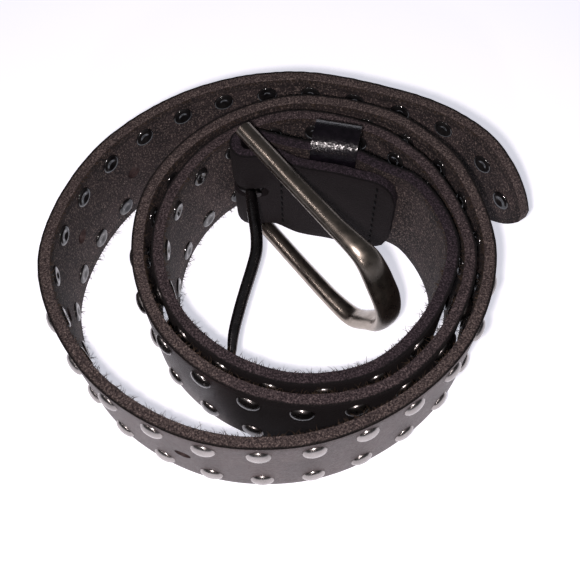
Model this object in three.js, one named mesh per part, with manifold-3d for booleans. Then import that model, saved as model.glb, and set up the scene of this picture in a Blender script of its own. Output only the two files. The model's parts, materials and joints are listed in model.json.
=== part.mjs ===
// Studded leather belt, loosely coiled and standing on its edge. Millimetres, +Z up.
// One thick strap winds clockwise from the buckle at its heart to the free tail outside.
// The strap's grain side faces out of the coil. Floor at z = 0, origin under the middle.

import * as THREE from 'three';
import { ConvexGeometry } from 'three/addons/geometries/ConvexGeometry.js';
import { mergeVertices } from 'three/addons/utils/BufferGeometryUtils.js';
import Module from 'manifold-3d';

const wasm = await Module();
wasm.setup();

// Driving dimensions: strap
const strapWidth = 38;
const leatherThickness = 3.5;
const coilRadius = 60;
const tailBearing = 73.1;
const tailPointLength = 24;
const tailPointPower = 1.66;
const tailTipHeight = 4;
const endStep = 2.8;

// Driving dimensions: rivets and holes
const rivetPitch = 14.76;
const rivetRowSpacing = 25;
const rivetPairCount = 64;
const domeDiameter = 6.8;
const domeHeight = 1.5;
const capDiameter = 6.4;
const capHeight = 0.4;
const rivetSides = 10;
const rivetTopSides = 5;
const rivetRoot = 0.15;
const tailRowInset = 4;
const tipRivetSetback = 8.7;
const lastPairSetback = 23.3;
const tailSpread = 3.9;
const tailSpreadFade = 0.45;
const prongHoleDiameter = 5;
const prongHoleCount = 5;
const firstHoleGap = 8.5;
const pitchesPerHole = 2;

// Driving dimensions: buckle end of the strap
const flapLength = 49;
const flapCornerRadius = 9;
const sewnGap = 0.5;
const foldEasing = 13;
const keeperEasing = 15;
const foldSteps = 10;
const slotHeight = 6.2;
const slotReach = 6.2;
const liftRunOut = 120;

// Driving dimensions: keeper
const keeperWidth = 13.6;
const keeperThickness = 1.8;
const keeperOffset = 26.4;
const keeperCornerRadius = 2.4;
const keeperCornerSteps = 3;

// Driving dimensions: buckle
const barDiameter = 4.6;
const wireDiameter = 4.5;
const wireBreadth = 5.3;
const frameHeight = 50;
const frameLength = 64.9;
const farEndThickness = 4.6;
const farEndBreadth = 8.8;
const farEndLean = 2.5;
const frameSides = 12;
const frameSteps = 28;
const prongWidth = 3.8;
const prongDepth = 3.4;
const prongReach = 1.008;
const prongEyeWall = 2.6;
const prongSides = 10;
const prongSteps = 18;
const prongEyeSides = 16;

// Clearances
const layerClearance = 0.2;
const runningGap = 0.3;
const tailClearance = 0.2;

// Where the buckle's bar stands, and which way frame and prong point from it, in degrees.
// The bar's reach and the prong's are shares of coilRadius.
const barBearing = -20.9;
const barReach = 0.62;
const frameHeading = -53.3;
const prongHeading = -96.3;

// Sizes that follow from the driving dimensions
const layerPitch = leatherThickness + domeHeight + capHeight + layerClearance;
const barRadius = barDiameter / 2;
const foldInnerRadius = barRadius + runningGap;
const foldRadius = foldInnerRadius + leatherThickness;
const buckleLift = wireDiameter + runningGap;
const frameMiddle = frameHeight / 2;
const prongLength = coilRadius * prongReach;
const keeperSlot = leatherThickness + domeHeight + capHeight + tailClearance;
const rowOffset = rivetRowSpacing / 2;
const facet = rivetPitch / 2;

// The winding, a row for each bearing in degrees clockwise from +Y. The first turn is the
// reach of the grain face from the coil's centre. The other turns are the slack left
// between a turn and the one inside it. All are shares of coilRadius.
const winding = [
  { bearing: 0, first: 0.606, second: 0.140, third: 0.002, fourth: 0.064 },
  { bearing: 30, first: 0.613, second: 0.138, third: 0.026, fourth: 0.049 },
  { bearing: 45, first: 0.632, second: 0.119, third: 0.033, fourth: 0.100 },
  { bearing: 60, first: 0.705, second: 0.043, third: 0.036, fourth: 0.149 },
  { bearing: 90, first: 0.757, second: 0.001, third: 0.000, fourth: 0.434 },
  { bearing: 120, first: 0.720, second: 0.001, third: 0.000 },
  { bearing: 150, first: 0.702, second: 0.000, third: 0.002 },
  { bearing: 180, first: 0.660, second: 0.000, third: 0.086 },
  { bearing: 210, first: 0.637, second: 0.000, third: 0.193 },
  { bearing: 240, first: 0.650, second: 0.000, third: 0.284 },
  { bearing: 270, first: 0.684, second: 0.000, third: 0.348 },
  { bearing: 300, first: 0.727, second: 0.014, third: 0.255 },
  { bearing: 330, first: 0.787, second: 0.000, third: 0.150 },
];

// Half outline of the buckle frame from bar to far end, as shares of its length and half
// height, with the wire's growth from limb to far end as a share.
const frameOutline = [
  { along: -0.03, across: 0.995, growth: 0.00 },
  { along: 0.30, across: 0.995, growth: 0.00 },
  { along: 0.633, across: 0.992, growth: 0.00 },
  { along: 0.779, across: 0.957, growth: 0.08 },
  { along: 0.833, across: 0.879, growth: 0.85 },
  { along: 0.920, across: 0.548, growth: 1.00 },
  { along: 0.979, across: 0.295, growth: 1.00 },
  { along: 1.00, across: 0.000, growth: 1.00 },
];

// The prong's curve: distance from the bar and sideways bow as shares of its length,
// and its thickness as a share of its full section.
const prongCurve = [
  { along: 0.05, bow: 0.000, section: 0.92 },
  { along: 0.20, bow: 0.030, section: 1.00 },
  { along: 0.34, bow: 0.062, section: 1.00 },
  { along: 0.43, bow: 0.070, section: 1.00 },
  { along: 0.52, bow: 0.060, section: 1.00 },
  { along: 0.64, bow: 0.040, section: 0.97 },
  { along: 0.76, bow: 0.022, section: 0.94 },
  { along: 0.88, bow: 0.010, section: 0.88 },
  { along: 0.96, bow: 0.012, section: 0.74 },
  { along: 1.00, bow: 0.016, section: 0.50 },
];

const up = new THREE.Vector3(0, 0, 1);
const radians = THREE.MathUtils.degToRad;

function polar(bearing, reach) {
  const angle = radians(bearing);
  return new THREE.Vector3(reach * Math.sin(angle), reach * Math.cos(angle), 0);
}

function heading(degrees) {
  return new THREE.Vector3(Math.cos(radians(degrees)), Math.sin(radians(degrees)), 0);
}

function smoothStep(from, to, value) {
  return THREE.MathUtils.smoothstep(value, from, to);
}

// Route of the grain face seen from above, from beside the bar to the tail's tip
const routeDivisions = 2400;
const barCentre = polar(barBearing, coilRadius * barReach);

function windingPoints() {
  const turns = ['first', 'second', 'third', 'fourth'];
  const inner = new Map(winding.map((row) => [row.bearing, 0]));
  const points = [];
  turns.forEach((turn, index) => {
    for (const row of winding) {
      if (row[turn] === undefined) continue;
      const step = index === 0 ? 0 : layerPitch;
      const reach = inner.get(row.bearing) + step + coilRadius * row[turn];
      inner.set(row.bearing, reach);
      points.push(polar(row.bearing, reach));
    }
  });
  return points;
}

function strapRoute() {
  const points = windingPoints();
  const away = points[1].clone().sub(barCentre).normalize();
  const outward = new THREE.Vector3(-away.y, away.x, 0);
  const start = barCentre.clone().addScaledVector(outward, foldRadius);
  const curve = new THREE.CatmullRomCurve3([start, ...points], false, 'centripetal');
  curve.arcLengthDivisions = routeDivisions;
  return curve;
}

const route = strapRoute();
const routeLength = route.getLength();

// Length of the route up to the tail's tip, found where the last turn meets its bearing
function lengthToTail() {
  let share = 1;
  for (let i = routeDivisions; i > 0; i -= 1) {
    share = i / routeDivisions;
    const point = route.getPointAt(share);
    if (THREE.MathUtils.radToDeg(Math.atan2(point.x, point.y)) < tailBearing) break;
  }
  return routeLength * share;
}

const strapLength = lengthToTail();
const lastPair = strapLength - lastPairSetback;

function stationAt(distance) {
  const share = THREE.MathUtils.clamp(distance / routeLength, 0, 1);
  const point = route.getPointAt(share);
  const along = route.getTangentAt(share);
  const outward = new THREE.Vector3(-along.y, along.x, 0).normalize();
  return { point, along, outward };
}

// The buckle end rides on the frame's lower limb and comes down to the floor further on
function liftAt(distance) {
  return buckleLift * (1 - smoothStep(flapLength, flapLength + liftRunOut, distance));
}

// How far the strap bends away from the straight keeper at the keeper's two ends,
// and how far its flat facets cut inside its true curve
const facetSag = facet ** 2 / (8 * coilRadius * winding[0].first);
const keeperSag = facetSag + [-1, 1].reduce((sag, side) => {
  const { point, outward } = stationAt(keeperOffset);
  const end = stationAt(keeperOffset + side * keeperWidth / 2).point;
  return Math.max(sag, -end.sub(point).dot(outward));
}, 0);

// Space between the two layers of the folded end: open at the bar, wider at the keeper
const keeperGap = keeperThickness + keeperSag + 3 * runningGap;

function gapAt(distance) {
  const fold = 2 * foldInnerRadius * (1 - smoothStep(0, foldEasing, distance));
  const nearKeeper = Math.abs(distance - keeperOffset) - keeperWidth / 2;
  const keeper = keeperGap * (1 - smoothStep(1, keeperEasing, nearKeeper));
  return Math.max(fold, keeper, sewnGap);
}

function flapStation(distance) {
  const { point, along, outward } = stationAt(distance);
  const depth = 2 * leatherThickness + gapAt(distance);
  return {
    point: point.clone().addScaledVector(outward, -depth),
    along: along.clone().negate(),
    outward: outward.clone().negate(),
  };
}

// Sections of the strap from flap end to tail tip: grain point, outward, low and high edge
function strapSections() {
  const sections = [];
  const middle = (distance) => liftAt(distance) + strapWidth / 2;

  const flapSteps = Math.ceil(flapLength / endStep);
  for (let i = 0; i < flapSteps; i += 1) {
    const distance = flapLength * (1 - i / flapSteps);
    const toEnd = Math.min(flapLength - distance, flapCornerRadius);
    const into = flapCornerRadius - toEnd;
    const corner = flapCornerRadius - Math.sqrt(flapCornerRadius ** 2 - into ** 2);
    const half = strapWidth / 2 - corner;
    sections.push({ ...flapStation(distance), low: middle(0) - half, high: middle(0) + half });
  }

  const start = stationAt(0);
  for (let i = 0; i < foldSteps; i += 1) {
    const turn = Math.PI * (1 - i / foldSteps);
    const outward = start.outward.clone().applyAxisAngle(up, turn);
    sections.push({
      point: barCentre.clone().addScaledVector(outward, foldRadius),
      outward,
      low: middle(0) - strapWidth / 2,
      high: middle(0) + strapWidth / 2,
    });
  }

  // Two flat facets for each pitch, so that every pair of rivets sits inside one facet
  const bodyLength = strapLength - tailPointLength;
  const half = strapWidth / 2;
  const lastEdge = lastPair + facet / 2;
  const facets = Math.floor((lastEdge - facet / 2) / facet);
  for (let i = -1; i < facets; i += 1) {
    const distance = i < 0 ? 0 : lastEdge - (facets - i) * facet;
    sections.push({
      ...stationAt(distance), low: middle(distance) - half, high: middle(distance) + half,
    });
  }

  const tailSteps = Math.ceil(tailPointLength / endStep);
  for (let i = 0; i <= tailSteps; i += 1) {
    const into = i / tailSteps;
    const distance = bodyLength + tailPointLength * into;
    const share = (1 - into ** tailPointPower) ** (1 / tailPointPower);
    const half = Math.max((strapWidth / 2) * share, tailTipHeight / 2);
    sections.push({
      ...stationAt(distance), low: middle(distance) - half, high: middle(distance) + half,
    });
  }
  return sections;
}

// A closed skin over a row of rings that all have the same number of corners
function loft(rings) {
  const corners = rings[0].length;
  const positions = rings.flat().flatMap((p) => [p.x, p.y, p.z]);
  const index = [];
  for (let r = 0; r < rings.length - 1; r += 1) {
    for (let c = 0; c < corners; c += 1) {
      const next = (c + 1) % corners;
      const a = r * corners + c;
      const b = r * corners + next;
      const d = a + corners;
      const e = b + corners;
      index.push(a, b, e, a, e, d);
    }
  }
  const last = (rings.length - 1) * corners;
  for (let c = 1; c < corners - 1; c += 1) {
    index.push(0, c + 1, c, last, last + c, last + c + 1);
  }
  const geometry = new THREE.BufferGeometry();
  geometry.setAttribute('position', new THREE.Float32BufferAttribute(positions, 3));
  geometry.setIndex(index);
  return geometry;
}

function strapRing({ point, outward, low, high }) {
  const flesh = point.clone().addScaledVector(outward, -leatherThickness);
  return [
    new THREE.Vector3(point.x, point.y, low),
    new THREE.Vector3(point.x, point.y, high),
    new THREE.Vector3(flesh.x, flesh.y, high),
    new THREE.Vector3(flesh.x, flesh.y, low),
  ];
}

// Solids: a three.js geometry becomes a manifold, and comes back as a geometry
function toSolid(geometry) {
  const bare = geometry.clone();
  bare.deleteAttribute('normal');
  bare.deleteAttribute('uv');
  const merged = mergeVertices(bare, 1e-4);
  return new wasm.Manifold(new wasm.Mesh({
    numProp: 3,
    vertProperties: new Float32Array(merged.attributes.position.array),
    triVerts: new Uint32Array(merged.index.array),
  }));
}

function toGeometry(solid) {
  const mesh = solid.getMesh();
  const geometry = new THREE.BufferGeometry();
  geometry.setAttribute('position', new THREE.Float32BufferAttribute(mesh.vertProperties, 3));
  geometry.setIndex(Array.from(mesh.triVerts));
  geometry.computeVertexNormals();
  return geometry;
}

function joinAll(solids) {
  let layer = solids;
  while (layer.length > 1) {
    const pairs = [];
    for (let i = 0; i < layer.length; i += 2) {
      pairs.push(i + 1 < layer.length ? layer[i].add(layer[i + 1]) : layer[i]);
    }
    layer = pairs;
  }
  return layer[0];
}

// Turns a shape made along +Y so that it points along a direction, at a place
function aim(geometry, place, direction) {
  const turn = new THREE.Quaternion().setFromUnitVectors(
    new THREE.Vector3(0, 1, 0), direction.clone().normalize(),
  );
  return geometry.clone().applyQuaternion(turn).translate(place.x, place.y, place.z);
}

// Rivets: a domed head on the grain side and a low cap on the flesh side
function ring(radius, rise, sides) {
  const corners = [];
  for (let i = 0; i < sides; i += 1) {
    const angle = (2 * Math.PI * i) / sides;
    corners.push(new THREE.Vector3(radius * Math.cos(angle), rise, radius * Math.sin(angle)));
  }
  return corners;
}

const domeShape = new ConvexGeometry([
  ...ring(1.03 * domeDiameter / 2, -rivetRoot, rivetSides),
  ...ring(0.6 * domeDiameter / 2, 0.8 * domeHeight, rivetTopSides),
  new THREE.Vector3(0, domeHeight, 0),
]);
const capShape = new ConvexGeometry([
  ...ring(1.37 * capDiameter / 2, -rivetRoot, rivetSides),
  new THREE.Vector3(0, capHeight, 0),
]);

function rivet({ point, outward }, height) {
  const place = point.clone().setZ(height);
  const back = place.clone().addScaledVector(outward, -leatherThickness);
  return [
    toSolid(aim(domeShape, place, outward)),
    toSolid(aim(capShape, back, outward.clone().negate())),
  ];
}

// The middle of the flat facet that a pair of rivets sits on
function facetAt(distance) {
  const from = stationAt(distance - facet / 2).point;
  const to = stationAt(distance + facet / 2).point;
  const along = to.clone().sub(from).normalize();
  return {
    point: from.clone().add(to).multiplyScalar(0.5),
    outward: new THREE.Vector3(-along.y, along.x, 0),
  };
}

// Rivets in pairs along the strap, the last few spread towards the tip, and one at the tip
function rivetHeads() {
  const heads = [];
  for (let i = 0; i < rivetPairCount; i += 1) {
    const distance = lastPair - i * rivetPitch + tailSpread * tailSpreadFade ** i;
    const place = facetAt(distance);
    const middle = liftAt(distance) + strapWidth / 2;
    const offset = i === 0 ? rowOffset - tailRowInset : rowOffset;
    heads.push(...rivet(place, middle + offset), ...rivet(place, middle - offset));
  }
  heads.push(...rivet(stationAt(strapLength - tipRivetSetback), strapWidth / 2));
  return heads;
}

function prongHoles() {
  const holes = [];
  const radius = prongHoleDiameter / 2;
  const tool = new THREE.CylinderGeometry(radius, radius, 3 * leatherThickness, rivetSides);
  for (let i = 0; i < prongHoleCount; i += 1) {
    const distance = lastPair - (firstHoleGap + i * pitchesPerHole) * rivetPitch;
    const station = stationAt(distance);
    const place = station.point.clone().setZ(liftAt(distance) + strapWidth / 2);
    place.addScaledVector(station.outward, -leatherThickness / 2);
    holes.push(toSolid(aim(tool, place, station.outward)));
  }
  return holes;
}

// The slot through the fold, in which the prong's eye and blade swing
function prongSlot() {
  const start = stationAt(0);
  const behind = foldRadius + 1;
  const length = behind + slotReach;
  const tool = new THREE.BoxGeometry(length, 3 * foldRadius, slotHeight);
  tool.translate((slotReach - behind) / 2, 0, 0);
  tool.rotateZ(Math.atan2(start.along.y, start.along.x));
  tool.translate(barCentre.x, barCentre.y, buckleLift + strapWidth / 2);
  return toSolid(tool);
}

function strapGeometry() {
  const leather = toSolid(loft(strapSections().map(strapRing)));
  const cut = joinAll([prongSlot(), ...prongHoles()]);
  return toGeometry(joinAll([leather.subtract(cut), ...rivetHeads()]));
}

// Keeper: a loop round the outer layer, its inner side between the layers
function roundedRectangle(left, bottom, right, top, radius, Type) {
  const shape = new Type();
  shape.moveTo(left + radius, bottom);
  shape.lineTo(right - radius, bottom);
  shape.absarc(right - radius, bottom + radius, radius, -Math.PI / 2, 0, false);
  shape.lineTo(right, top - radius);
  shape.absarc(right - radius, top - radius, radius, 0, Math.PI / 2, false);
  shape.lineTo(left + radius, top);
  shape.absarc(left + radius, top - radius, radius, Math.PI / 2, Math.PI, false);
  shape.lineTo(left, bottom + radius);
  shape.absarc(left + radius, bottom + radius, radius, Math.PI, 1.5 * Math.PI, false);
  return shape;
}

function keeperGeometry() {
  const { point, along, outward } = stationAt(keeperOffset);
  const left = -leatherThickness - keeperSag - runningGap;
  const bottom = -runningGap;
  const right = keeperSlot;
  const top = strapWidth + runningGap;
  const wall = keeperThickness;
  const inner = keeperCornerRadius - wall;
  const shape = roundedRectangle(
    left - wall, bottom - wall, right + wall, top + wall, keeperCornerRadius, THREE.Shape,
  );
  shape.holes.push(roundedRectangle(left, bottom, right, top, inner, THREE.Path));
  const band = new THREE.ExtrudeGeometry(shape, {
    depth: keeperWidth, steps: 1, bevelEnabled: false, curveSegments: keeperCornerSteps,
  });
  band.translate(0, 0, -keeperWidth / 2);
  const frame = new THREE.Matrix4().makeBasis(outward, up, outward.clone().cross(up));
  band.applyMatrix4(frame);
  band.translate(point.x, point.y, buckleLift);
  return toGeometry(toSolid(band));
}

// A loft whose rings stand square to a curve that lies in an upright plane
function sweptWire(path, alongPlane, halfIn, halfOut, sides) {
  const across = alongPlane.clone().cross(up).normalize();
  const rings = path.map(({ centre, tangent, size }) => {
    const side = across.clone().cross(tangent).normalize();
    const section = [];
    for (let i = 0; i < sides; i += 1) {
      const angle = (2 * Math.PI * i) / sides;
      section.push(centre.clone()
        .addScaledVector(side, Math.cos(angle) * halfIn(size))
        .addScaledVector(across, Math.sin(angle) * halfOut(size)));
    }
    return section;
  });
  return loft(rings);
}

// Buckle frame: a wire bow with limbs over and under the strap, closed by its bar. Its
// broad far end leans to one side.
function frameGeometry() {
  const ahead = heading(frameHeading);
  const aside = new THREE.Vector3(-ahead.y, ahead.x, 0);
  const halfHeight = (frameHeight - wireDiameter) / 2;
  const reach = frameLength - farEndThickness / 2;
  const rows = frameOutline.map((row) => ({ ...row, side: 1 }));
  for (const row of frameOutline.slice(0, -1).reverse()) rows.push({ ...row, side: -1 });
  const place = ({ along, across, side }) => barCentre.clone()
    .addScaledVector(ahead, along * reach)
    .setZ(frameMiddle + side * across * halfHeight);
  const curve = new THREE.CatmullRomCurve3(rows.map(place), false, 'centripetal');
  const growth = new THREE.CatmullRomCurve3(
    rows.map((row) => new THREE.Vector3(row.growth, 0, 0)), false, 'centripetal',
  );
  const path = [];
  for (let i = 0; i <= frameSteps; i += 1) {
    const share = i / frameSteps;
    const size = THREE.MathUtils.clamp(growth.getPoint(share).x, 0, 1);
    path.push({
      centre: curve.getPoint(share).addScaledVector(aside, size * farEndLean),
      tangent: curve.getTangent(share),
      size,
    });
  }
  const grow = (from, to) => (size) => THREE.MathUtils.lerp(from, to, size) / 2;
  const bow = sweptWire(
    path, ahead, grow(wireDiameter, farEndThickness), grow(wireBreadth, farEndBreadth), frameSides,
  );
  const bar = new THREE.CylinderGeometry(
    barRadius, barRadius, frameHeight - wireDiameter, frameSides,
  ).rotateX(Math.PI / 2).translate(barCentre.x, barCentre.y, frameMiddle);
  return toGeometry(joinAll([toSolid(bow), toSolid(bar)]));
}

// Prong: an eye round the bar and a bowed blade
function prongGeometry() {
  const ahead = heading(prongHeading);
  const aside = new THREE.Vector3(-ahead.y, ahead.x, 0);
  const height = buckleLift + strapWidth / 2;
  const inner = barRadius + runningGap;
  const outer = inner + prongEyeWall;
  const half = prongWidth / 2;
  const eye = new THREE.LatheGeometry([
    new THREE.Vector2(inner, -half),
    new THREE.Vector2(outer, -half),
    new THREE.Vector2(outer, half),
    new THREE.Vector2(inner, half),
    new THREE.Vector2(inner, -half),
  ], prongEyeSides).rotateX(Math.PI / 2).translate(barCentre.x, barCentre.y, height);
  const points = prongCurve.map((row) => barCentre.clone()
    .addScaledVector(ahead, row.along * prongLength)
    .addScaledVector(aside, row.bow * prongLength)
    .setZ(height));
  const curve = new THREE.CatmullRomCurve3(points, false, 'centripetal');
  const sizes = new THREE.CatmullRomCurve3(
    prongCurve.map((row) => new THREE.Vector3(row.section, 0, 0)), false, 'centripetal',
  );
  const rings = [];
  for (let i = 0; i <= prongSteps; i += 1) {
    const share = i / prongSteps;
    const centre = curve.getPoint(share);
    const side = up.clone().cross(curve.getTangent(share)).normalize();
    const size = sizes.getPoint(share).x;
    const section = [];
    for (let k = 0; k < prongSides; k += 1) {
      const angle = (2 * Math.PI * k) / prongSides;
      section.push(centre.clone()
        .addScaledVector(side, Math.cos(angle) * size * prongDepth / 2)
        .addScaledVector(up, Math.sin(angle) * size * half));
    }
    rings.push(section);
  }
  const bore = new THREE.CylinderGeometry(
    inner, inner, 2 * prongWidth, prongEyeSides,
  ).rotateX(Math.PI / 2).translate(barCentre.x, barCentre.y, height);
  return toGeometry(joinAll([toSolid(loft(rings)), toSolid(eye)]).subtract(toSolid(bore)));
}

// Finishes
const blackLeather = { color: 0x1b1819, roughness: 0.62, metalness: 0 };
const keeperLeather = { color: 0x131214, roughness: 0.35, metalness: 0 };
const gunmetal = { color: 0x4c4741, roughness: 0.28, metalness: 1 };
const prongMetal = { color: 0x2e2c2c, roughness: 0.42, metalness: 1 };

function piece(name, geometry, finish) {
  const mesh = new THREE.Mesh(geometry, new THREE.MeshStandardMaterial(finish));
  mesh.name = name;
  return mesh;
}

const belt = new THREE.Group();
belt.name = 'studded_belt';
belt.add(piece('strap', strapGeometry(), blackLeather));
belt.add(piece('keeper', keeperGeometry(), keeperLeather));
belt.add(piece('buckle_frame', frameGeometry(), gunmetal));
belt.add(piece('prong', prongGeometry(), prongMetal));

// The whole belt is moved so that its outer box is centred on the origin
const middle = new THREE.Box3().setFromObject(belt).getCenter(new THREE.Vector3());
belt.position.set(-middle.x, -middle.y, 0);
belt.updateMatrixWorld(true);

export default belt;
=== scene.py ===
import json
import math
import random

import bpy
from mathutils import Matrix, Vector

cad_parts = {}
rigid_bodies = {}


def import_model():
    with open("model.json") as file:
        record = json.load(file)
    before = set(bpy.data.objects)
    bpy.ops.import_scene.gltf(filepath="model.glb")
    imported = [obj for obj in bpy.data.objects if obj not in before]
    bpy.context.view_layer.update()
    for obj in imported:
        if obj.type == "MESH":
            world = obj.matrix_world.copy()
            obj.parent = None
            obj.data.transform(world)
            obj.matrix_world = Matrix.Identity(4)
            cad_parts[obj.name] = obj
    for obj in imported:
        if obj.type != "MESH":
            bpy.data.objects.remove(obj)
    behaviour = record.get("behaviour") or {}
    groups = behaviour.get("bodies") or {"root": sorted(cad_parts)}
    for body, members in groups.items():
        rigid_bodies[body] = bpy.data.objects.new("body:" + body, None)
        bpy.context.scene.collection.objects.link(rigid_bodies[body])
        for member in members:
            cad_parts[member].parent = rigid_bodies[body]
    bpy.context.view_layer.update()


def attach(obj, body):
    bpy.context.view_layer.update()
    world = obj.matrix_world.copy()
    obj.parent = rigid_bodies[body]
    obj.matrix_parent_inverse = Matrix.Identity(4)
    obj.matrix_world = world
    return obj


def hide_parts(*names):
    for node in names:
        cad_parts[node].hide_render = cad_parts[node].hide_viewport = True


for thing in list(bpy.data.objects):
    bpy.data.objects.remove(thing, do_unlink=True)

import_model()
random.seed(41)
mm = 0.001
print("frame loaded")


# Small helpers

def clearSelection():
    if bpy.context.object and bpy.context.object.mode != "OBJECT":
        bpy.ops.object.mode_set(mode="OBJECT")
    bpy.ops.object.select_all(action="DESELECT")


def pick(piece):
    clearSelection()
    piece.select_set(True)
    bpy.context.view_layer.objects.active = piece


def finishWith(piece, kind, **settings):
    pick(piece)
    bpy.ops.object.modifier_add(type=kind)
    modifier = piece.modifiers[-1]
    for name, value in settings.items():
        setattr(modifier, name, value)
    bpy.ops.object.modifier_apply(modifier=modifier.name)


def joinPieces(pieces, name):
    clearSelection()
    for piece in pieces:
        piece.select_set(True)
    bpy.context.view_layer.objects.active = pieces[0]
    bpy.ops.object.join()
    joined = bpy.context.object
    joined.name = name
    return joined


def placeFixed(piece):
    pick(piece)
    bpy.ops.object.transform_apply(location=True, rotation=True, scale=True)


def smooth(piece, degrees):
    pick(piece)
    bpy.ops.object.shade_smooth_by_angle(angle=math.radians(degrees))


def selectFaces(piece, wanted):
    # wanted looks at a face's middle and normal
    pick(piece)
    bpy.ops.object.mode_set(mode="EDIT")
    bpy.ops.mesh.select_mode(type="FACE")
    bpy.ops.mesh.select_all(action="DESELECT")
    bpy.ops.object.mode_set(mode="OBJECT")
    for face in piece.data.polygons:
        face.select = wanted(face.center, face.normal)
    bpy.ops.object.mode_set(mode="EDIT")


def selectEdges(piece, wanted):
    # wanted looks at an edge's two ends
    pick(piece)
    bpy.ops.object.mode_set(mode="EDIT")
    bpy.ops.mesh.select_mode(type="EDGE")
    bpy.ops.mesh.select_all(action="DESELECT")
    bpy.ops.object.mode_set(mode="OBJECT")
    for edge in piece.data.edges:
        ends = [piece.data.vertices[i].co for i in edge.vertices]
        edge.select = wanted(*ends)
    bpy.ops.object.mode_set(mode="EDIT")


# Finishes

finish = {
    "grainDark": (0.034, 0.0222, 0.0220, 1),
    "grainWorn": (0.064, 0.042, 0.041, 1),
    # Painted shade: near-black grain for the inner turns
    "grainInnerShade": (0.004, 0.0035, 0.0045, 1),
    # Painted shade: near-black grain for the buckle end
    "grainBuckleShade": (0.0035, 0.0028, 0.0042, 1),
    "fleshDark": (0.011, 0.0082, 0.0098, 1),
    "fleshWarm": (0.046, 0.0325, 0.0330, 1),
    "fleshFibre": (0.34, 0.262, 0.230, 1),
    "edgeDark": (0.009, 0.007, 0.008, 1),
    "edgeMiddle": (0.074, 0.055, 0.054, 1),
    "edgePale": (0.35, 0.28, 0.25, 1),
    # Painted shade: darkened, lavender-tinted cut edge over the buckle end
    "edgeBuckleShade": (0.42, 0.40, 0.52, 1),
    # Painted shade: darkened, lavender-tinted cut edge on the inner turns
    "edgeInnerShade": (0.76, 0.74, 0.82, 1),
    "gunmetal": (0.38, 0.355, 0.345, 1),
    "bronzed": (0.38, 0.332, 0.285, 1),
    "darkMetal": (0.17, 0.162, 0.168, 1),
    # Painted shade: near-black metal for the parts inside the fold
    "innerMetalShade": (0.05, 0.047, 0.048, 1),
    "blackEnamel": (0.005, 0.0045, 0.005, 1),
    "enamelWorn": (0.02, 0.019, 0.019, 1),
    "keeperDark": (0.003, 0.0024, 0.004, 1),
    "keeperLight": (0.009, 0.007, 0.0105, 1),
    "thread": (0.0025, 0.0025, 0.003, 1),
    "hair": (0.075, 0.052, 0.038, 1),
}


def newFinish(name):
    made = bpy.data.materials.new(name)
    made.use_nodes = True
    tree = made.node_tree
    return made, tree, tree.nodes["Principled BSDF"]


def giveFinish(piece, finishUsed):
    piece.data.materials.clear()
    piece.data.materials.append(finishUsed)


def setInputs(node, inputs):
    for name, value in inputs.items():
        node.inputs[name].default_value = value


def addNode(tree, kind, inputs=None, **settings):
    node = tree.nodes.new(kind)
    for name, value in settings.items():
        setattr(node, name, value)
    setInputs(node, inputs or {})
    return node


def attribute(tree, name):
    return addNode(tree, "ShaderNodeAttribute", attribute_name=name).outputs["Fac"]


def noise(tree, scale, detail=2.0, rough=0.5, stretch=(1, 1, 1)):
    where = addNode(tree, "ShaderNodeTexCoord")
    turn = addNode(tree, "ShaderNodeMapping", {"Scale": stretch})
    made = addNode(tree, "ShaderNodeTexNoise",
                   {"Scale": scale, "Detail": detail, "Roughness": rough})
    tree.links.new(where.outputs["Object"], turn.inputs["Vector"])
    tree.links.new(turn.outputs["Vector"], made.inputs["Vector"])
    return made.outputs["Fac"]


def cells(tree, scale):
    where = addNode(tree, "ShaderNodeTexCoord")
    made = addNode(tree, "ShaderNodeTexVoronoi", {"Scale": scale})
    tree.links.new(where.outputs["Object"], made.inputs["Vector"])
    return made.outputs["Distance"]


def ramp(tree, source, stops):
    made = addNode(tree, "ShaderNodeValToRGB")
    while len(made.color_ramp.elements) < len(stops):
        made.color_ramp.elements.new(0.5)
    for element, (place, colour) in zip(made.color_ramp.elements, stops):
        element.position = place
        element.color = colour
    tree.links.new(source, made.inputs["Fac"])
    return made.outputs["Color"]


def grey(value):
    return (value, value, value, 1)


def darker(colour, share):
    return tuple(c * share for c in colour[:3]) + (1,)


def mixColour(tree, share, first, second, mode="MIX"):
    made = addNode(tree, "ShaderNodeMix", data_type="RGBA", blend_type=mode)
    for name, value in (("Factor", share), ("A", first), ("B", second)):
        place = next(s for s in made.inputs if s.name == name and s.enabled)
        if isinstance(value, (int, float, tuple)):
            place.default_value = value
        else:
            tree.links.new(value, place)
    return next(s for s in made.outputs if s.enabled)


def multiply(tree, first, second):
    return mixColour(tree, 1.0, first, second, "MULTIPLY")


def bump(tree, shader, height, strength, distance, under=None):
    # distance is the relief's height in metres
    made = addNode(tree, "ShaderNodeBump", {"Strength": strength, "Distance": distance})
    tree.links.new(height, made.inputs["Height"])
    if under:
        tree.links.new(under.outputs["Normal"], made.inputs["Normal"])
    tree.links.new(made.outputs["Normal"], shader.inputs["Normal"])
    return made


def dullness(tree, pattern, low, high):
    return ramp(tree, pattern, [(0.3, grey(low)), (0.7, grey(high))])


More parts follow.
